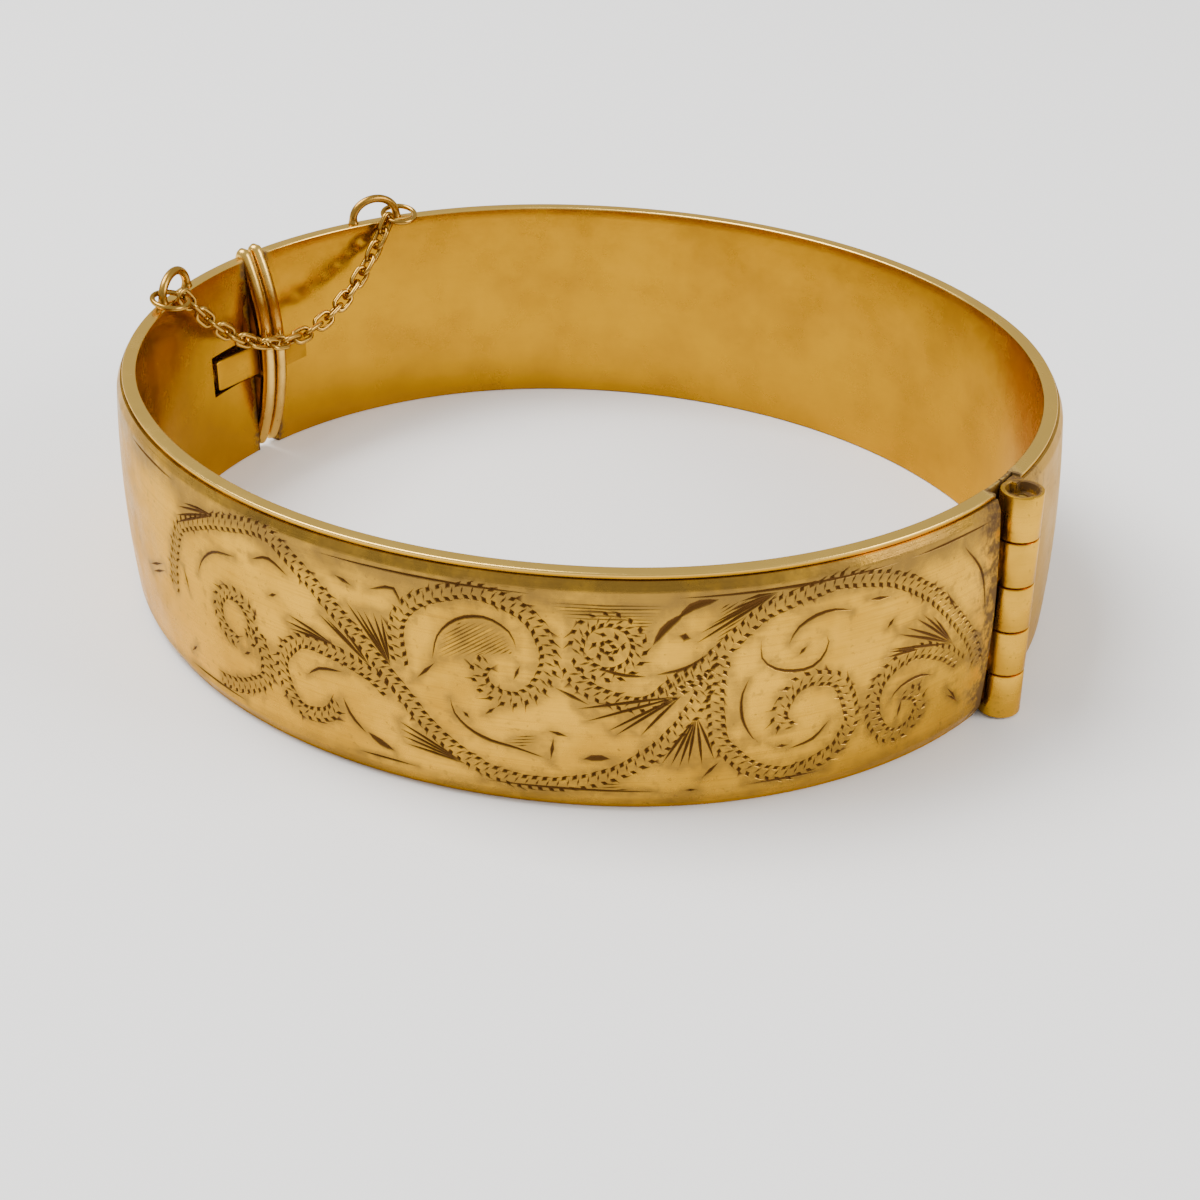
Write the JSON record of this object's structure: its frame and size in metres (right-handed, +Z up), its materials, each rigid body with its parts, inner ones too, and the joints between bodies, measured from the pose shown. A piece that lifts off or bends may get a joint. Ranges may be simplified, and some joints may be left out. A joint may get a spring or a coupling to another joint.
{
  "type": "hinged bangle bracelet",
  "caption": "Hinged oval bangle: engraved hollow front half and plain back half, five-knuckle hinge, tongue clasp between beaded collars, and a link safety chain.",
  "frame": {"origin": "centre of the closed bangle's bounding box in plan, on the plane of the bottom rim", "axes": "+Z up through the opening, +X towards the hinge, -X towards the clasp, -Y towards the engraved front half"},
  "size_m": [0.0652, 0.0576, 0.0175],
  "materials": {
    "engraved_gold": "soft gloss",
    "plain_gold": "satin",
    "liner_gold": "soft gloss",
    "plate_gold": "satin",
    "collar_gold": "soft gloss",
    "loop_gold": "soft gloss",
    "knuckle_gold": "soft gloss",
    "pin_gold": "soft gloss",
    "tongue_gold": "soft gloss",
    "chain_gold": "soft gloss"
  },
  "bodies": {
    "back_half": {"back_outer_shell": "plain_gold", "back_inner_liner": "liner_gold", "back_clasp_plate": "plate_gold", "back_clasp_collar": "collar_gold", "back_chain_loop": "loop_gold", "back_knuckles": "knuckle_gold", "hinge_pin": "pin_gold", "tongue_pad": "tongue_gold"},
    "front_half": {"front_outer_shell": "engraved_gold", "front_inner_liner": "liner_gold", "front_clasp_plate": "plate_gold", "front_clasp_collar": "collar_gold", "front_chain_loop": "loop_gold", "front_knuckles": "knuckle_gold"},
    "tongue": {"tongue_strip": "tongue_gold", "tongue_catch_step": "tongue_gold"},
    "ring_back": {"chain_ring_back": "chain_gold"},
    "link_01": {"chain_link_01": "chain_gold"},
    "link_02": {"chain_link_02": "chain_gold"},
    "link_03": {"chain_link_03": "chain_gold"},
    "link_04": {"chain_link_04": "chain_gold"},
    "link_05": {"chain_link_05": "chain_gold"},
    "link_06": {"chain_link_06": "chain_gold"},
    "link_07": {"chain_link_07": "chain_gold"},
    "link_08": {"chain_link_08": "chain_gold"},
    "link_09": {"chain_link_09": "chain_gold"},
    "link_10": {"chain_link_10": "chain_gold"},
    "link_11": {"chain_link_11": "chain_gold"},
    "link_12": {"chain_link_12": "chain_gold"},
    "link_13": {"chain_link_13": "chain_gold"},
    "link_14": {"chain_link_14": "chain_gold"},
    "link_15": {"chain_link_15": "chain_gold"},
    "link_16": {"chain_link_16": "chain_gold"},
    "link_17": {"chain_link_17": "chain_gold"},
    "link_18": {"chain_link_18": "chain_gold"},
    "link_19": {"chain_link_19": "chain_gold"},
    "link_20": {"chain_link_20": "chain_gold"},
    "link_21": {"chain_link_21": "chain_gold"},
    "link_22": {"chain_link_22": "chain_gold"},
    "ring_front": {"chain_ring_front": "chain_gold"}
  },
  "joints": [
    {"name": "hinge_open", "type": "hinge", "parent": "back_half", "child": "front_half", "pos_m": [0.03127, 0, 0.0076], "axis": [0, 0, 1], "range_deg": [0, 4]},
    {"name": "tongue_press", "type": "hinge", "parent": "back_half", "child": "tongue", "pos_m": [-0.03, 0.001, 0.0076], "axis": [0, 0, -1], "range_deg": [0, 4], "stiffness_Nm_per_rad": 0.02},
    {"name": "ring_back_swivel", "type": "hinge", "parent": "back_half", "child": "ring_back", "pos_m": [-0.02781, 0.01258, 0.0155], "axis": [0, 0, 1], "range_deg": [-0.02, 2.27]},
    {"name": "ring_front_swivel", "type": "hinge", "parent": "front_half", "child": "ring_front", "pos_m": [-0.02891, -0.01028, 0.0155], "axis": [0, 0, 1], "range_deg": [-1.77, 0.02]},
    {"name": "link_turn_01", "type": "hinge", "parent": "ring_back", "child": "link_01", "pos_m": [-0.02734, 0.01113, 0.01543], "axis": [-0.9988, 0.048, 0], "range_deg": [-0.02, 35.36]},
    {"name": "link_turn_02", "type": "hinge", "parent": "ring_back", "child": "link_02", "pos_m": [-0.02734, 0.01116, 0.01545], "axis": [-0.9988, 0.048, 0], "range_deg": [-0.02, 34.23]},
    {"name": "link_turn_03", "type": "hinge", "parent": "ring_back", "child": "link_03", "pos_m": [-0.02734, 0.01124, 0.0155], "axis": [-0.9988, 0.048, 0], "range_deg": [-0.02, 32.74]},
    {"name": "link_turn_04", "type": "hinge", "parent": "ring_back", "child": "link_04", "pos_m": [-0.02733, 0.01141, 0.01561], "axis": [-0.9988, 0.048, 0], "range_deg": [-0.02, 30.86]},
    {"name": "link_turn_05", "type": "hinge", "parent": "ring_back", "child": "link_05", "pos_m": [-0.02731, 0.01174, 0.01582], "axis": [-0.9988, 0.048, 0], "range_deg": [-0.02, 28.5]},
    {"name": "link_turn_06", "type": "hinge", "parent": "ring_back", "child": "link_06", "pos_m": [-0.02729, 0.01234, 0.01619], "axis": [-0.9988, 0.048, 0], "range_deg": [-0.02, 25.61]},
    {"name": "link_turn_07", "type": "hinge", "parent": "ring_back", "child": "link_07", "pos_m": [-0.02723, 0.01342, 0.01681], "axis": [-0.9988, 0.048, 0], "range_deg": [-0.02, 22.14]},
    {"name": "link_turn_08", "type": "hinge", "parent": "ring_back", "child": "link_08", "pos_m": [-0.02714, 0.01547, 0.01794], "axis": [-0.9988, 0.048, 0], "range_deg": [-0.02, 18.08]},
    {"name": "link_turn_09", "type": "hinge", "parent": "ring_back", "child": "link_09", "pos_m": [-0.02693, 0.01969, 0.02015], "axis": [-0.9988, 0.048, 0], "range_deg": [-0.02, 13.43]},
    {"name": "link_turn_10", "type": "hinge", "parent": "ring_back", "child": "link_10", "pos_m": [-0.02641, 0.03055, 0.02562], "axis": [-0.9988, 0.048, 0], "range_deg": [-0.02, 8.29]},
    {"name": "link_turn_11", "type": "hinge", "parent": "ring_back", "child": "link_11", "pos_m": [-0.02365, 0.08808, 0.05373], "axis": [-0.9988, 0.048, 0], "range_deg": [-0.02, 2.82]},
    {"name": "link_turn_12", "type": "hinge", "parent": "ring_front", "child": "link_12", "pos_m": [-0.032, -0.08584, 0.05373], "axis": [-0.9988, 0.048, 0], "range_deg": [-2.82, 0.02]},
    {"name": "link_turn_13", "type": "hinge", "parent": "ring_front", "child": "link_13", "pos_m": [-0.02924, -0.0283, 0.02562], "axis": [-0.9988, 0.048, 0], "range_deg": [-8.29, 0.02]},
    {"name": "link_turn_14", "type": "hinge", "parent": "ring_front", "child": "link_14", "pos_m": [-0.02872, -0.01744, 0.02015], "axis": [-0.9988, 0.048, 0], "range_deg": [-13.43, 0.02]},
    {"name": "link_turn_15", "type": "hinge", "parent": "ring_front", "child": "link_15", "pos_m": [-0.02851, -0.01322, 0.01794], "axis": [-0.9988, 0.048, 0], "range_deg": [-18.08, 0.02]},
    {"name": "link_turn_16", "type": "hinge", "parent": "ring_front", "child": "link_16", "pos_m": [-0.02842, -0.01118, 0.01681], "axis": [-0.9988, 0.048, 0], "range_deg": [-22.14, 0.02]},
    {"name": "link_turn_17", "type": "hinge", "parent": "ring_front", "child": "link_17", "pos_m": [-0.02836, -0.01009, 0.01619], "axis": [-0.9988, 0.048, 0], "range_deg": [-25.61, 0.02]},
    {"name": "link_turn_18", "type": "hinge", "parent": "ring_front", "child": "link_18", "pos_m": [-0.02833, -0.00949, 0.01582], "axis": [-0.9988, 0.048, 0], "range_deg": [-28.5, 0.02]},
    {"name": "link_turn_19", "type": "hinge", "parent": "ring_front", "child": "link_19", "pos_m": [-0.02832, -0.00916, 0.01561], "axis": [-0.9988, 0.048, 0], "range_deg": [-30.86, 0.02]},
    {"name": "link_turn_20", "type": "hinge", "parent": "ring_front", "child": "link_20", "pos_m": [-0.02831, -0.00899, 0.0155], "axis": [-0.9988, 0.048, 0], "range_deg": [-32.74, 0.02]},
    {"name": "link_turn_21", "type": "hinge", "parent": "ring_front", "child": "link_21", "pos_m": [-0.02831, -0.00891, 0.01545], "axis": [-0.9988, 0.048, 0], "range_deg": [-34.23, 0.02]},
    {"name": "link_turn_22", "type": "hinge", "parent": "ring_front", "child": "link_22", "pos_m": [-0.02831, -0.00888, 0.01543], "axis": [-0.9988, 0.048, 0], "range_deg": [-35.36, 0.02]}
  ],
  "couplings": [
    {"joint": "ring_back_swivel", "follows": "hinge_open", "ratio": 0.56334},
    {"joint": "ring_front_swivel", "follows": "hinge_open", "ratio": -0.43667},
    {"joint": "link_turn_01", "follows": "hinge_open", "ratio": 8.8355},
    {"joint": "link_turn_02", "follows": "hinge_open", "ratio": 8.5514},
    {"joint": "link_turn_03", "follows": "hinge_open", "ratio": 8.1808},
    {"joint": "link_turn_04", "follows": "hinge_open", "ratio": 7.7088},
    {"joint": "link_turn_05", "follows": "hinge_open", "ratio": 7.1195},
    {"joint": "link_turn_06", "follows": "hinge_open", "ratio": 6.3977},
    {"joint": "link_turn_07", "follows": "hinge_open", "ratio": 5.5311},
    {"joint": "link_turn_08", "follows": "hinge_open", "ratio": 4.5139},
    {"joint": "link_turn_09", "follows": "hinge_open", "ratio": 3.352},
    {"joint": "link_turn_10", "follows": "hinge_open", "ratio": 2.0673},
    {"joint": "link_turn_11", "follows": "hinge_open", "ratio": 0.69899},
    {"joint": "link_turn_12", "follows": "hinge_open", "ratio": -0.69899},
    {"joint": "link_turn_13", "follows": "hinge_open", "ratio": -2.0673},
    {"joint": "link_turn_14", "follows": "hinge_open", "ratio": -3.352},
    {"joint": "link_turn_15", "follows": "hinge_open", "ratio": -4.5139},
    {"joint": "link_turn_16", "follows": "hinge_open", "ratio": -5.5311},
    {"joint": "link_turn_17", "follows": "hinge_open", "ratio": -6.3977},
    {"joint": "link_turn_18", "follows": "hinge_open", "ratio": -7.1195},
    {"joint": "link_turn_19", "follows": "hinge_open", "ratio": -7.7088},
    {"joint": "link_turn_20", "follows": "hinge_open", "ratio": -8.1808},
    {"joint": "link_turn_21", "follows": "hinge_open", "ratio": -8.5514},
    {"joint": "link_turn_22", "follows": "hinge_open", "ratio": -8.8355}
  ]
}
